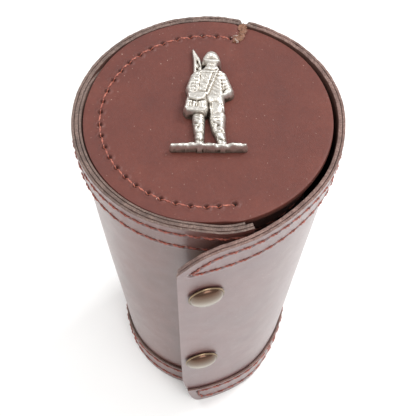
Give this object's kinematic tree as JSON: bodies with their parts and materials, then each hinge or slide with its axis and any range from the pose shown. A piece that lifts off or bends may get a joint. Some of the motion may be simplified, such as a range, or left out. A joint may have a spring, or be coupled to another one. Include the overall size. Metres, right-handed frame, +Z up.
{
  "type": "leather dice cup case",
  "caption": "Tapered round leather wrap-round case with a sewn lid and base and a hinged, press-studded side flap, holding a felt-lined dice cup with dice.",
  "frame": {"origin": "centre of the base disc's underside, on the surface the case stands on", "axes": "+Z up along the case's axis from the narrow foot to the wide lid; -Y is the front, where the press studs close; +X is to the right seen from the front"},
  "size_m": [0.0817, 0.0882, 0.1304],
  "materials": {
    "case_leather": "semi-gloss pigmented grain",
    "lid_leather": "semi-gloss pigmented grain",
    "inner_leather": "matte",
    "thread": "waxed thread",
    "stud_brass": "antiqued",
    "pewter": "cast pewter, darkened in the hollows",
    "clutch_steel": "plain",
    "cup_leather": "satin",
    "binding_leather": "satin",
    "felt": "wool felt",
    "dice": "polished"
  },
  "bodies": {
    "case": {"wall_panel": "case_leather", "wall_top_band": "case_leather", "wall_bottom_band": "case_leather", "wall_top_thread": "thread", "wall_bottom_thread": "thread", "lid_disc": "lid_leather", "lid_gusset": "inner_leather", "lid_thread": "thread", "base_disc": "inner_leather", "base_gusset": "inner_leather", "base_thread": "thread", "stud_upper": "stud_brass", "stud_lower": "stud_brass", "rivet_upper": "stud_brass", "rivet_lower": "stud_brass", "badge_figure": "pewter", "badge_clutch_front": "clutch_steel", "badge_clutch_rear": "clutch_steel"},
    "flap": {"flap_panel": "case_leather", "flap_top_band": "case_leather", "flap_bottom_band": "case_leather", "flap_top_thread": "thread", "flap_bottom_thread": "thread", "cap_upper": "stud_brass", "cap_lower": "stud_brass", "socket_upper": "stud_brass", "socket_lower": "stud_brass"},
    "cup": {"cup_wall": "cup_leather", "cup_base": "cup_leather", "cup_lining": "felt", "cup_floor_felt": "felt", "cup_rim_binding": "binding_leather"},
    "die_1": {"die_1": "dice"},
    "die_2": {"die_2": "dice"},
    "die_3": {"die_3": "dice"},
    "die_4": {"die_4": "dice"},
    "die_5": {"die_5": "dice"}
  },
  "joints": [
    {"name": "flap_swing", "type": "hinge", "parent": "case", "child": "flap", "pos_m": [0.00764, 0.02849, 0], "axis": [0.0215, 0.0802, 0.9965], "range_deg": [0, 100]},
    {"name": "cup_slide", "type": "slide", "parent": "case", "child": "cup", "axis": [0.9998, 0.0175, 0], "range_m": [0, 0.049]},
    {"name": "die_1_lift", "type": "slide", "parent": "cup", "child": "die_1", "axis": [0, 0, 1], "range_m": [0, 0.095]},
    {"name": "die_2_lift", "type": "slide", "parent": "cup", "child": "die_2", "axis": [0, 0, 1], "range_m": [0, 0.095]},
    {"name": "die_3_lift", "type": "slide", "parent": "cup", "child": "die_3", "axis": [0, 0, 1], "range_m": [0, 0.095]},
    {"name": "die_4_lift", "type": "slide", "parent": "cup", "child": "die_4", "axis": [0, 0, 1], "range_m": [0, 0.095]},
    {"name": "die_5_lift", "type": "slide", "parent": "cup", "child": "die_5", "axis": [0, 0, 1], "range_m": [0, 0.095]}
  ],
  "couplings": [
    {"joint": "cup_slide", "follows": "flap_swing", "m_per_rad": 0.028}
  ]
}
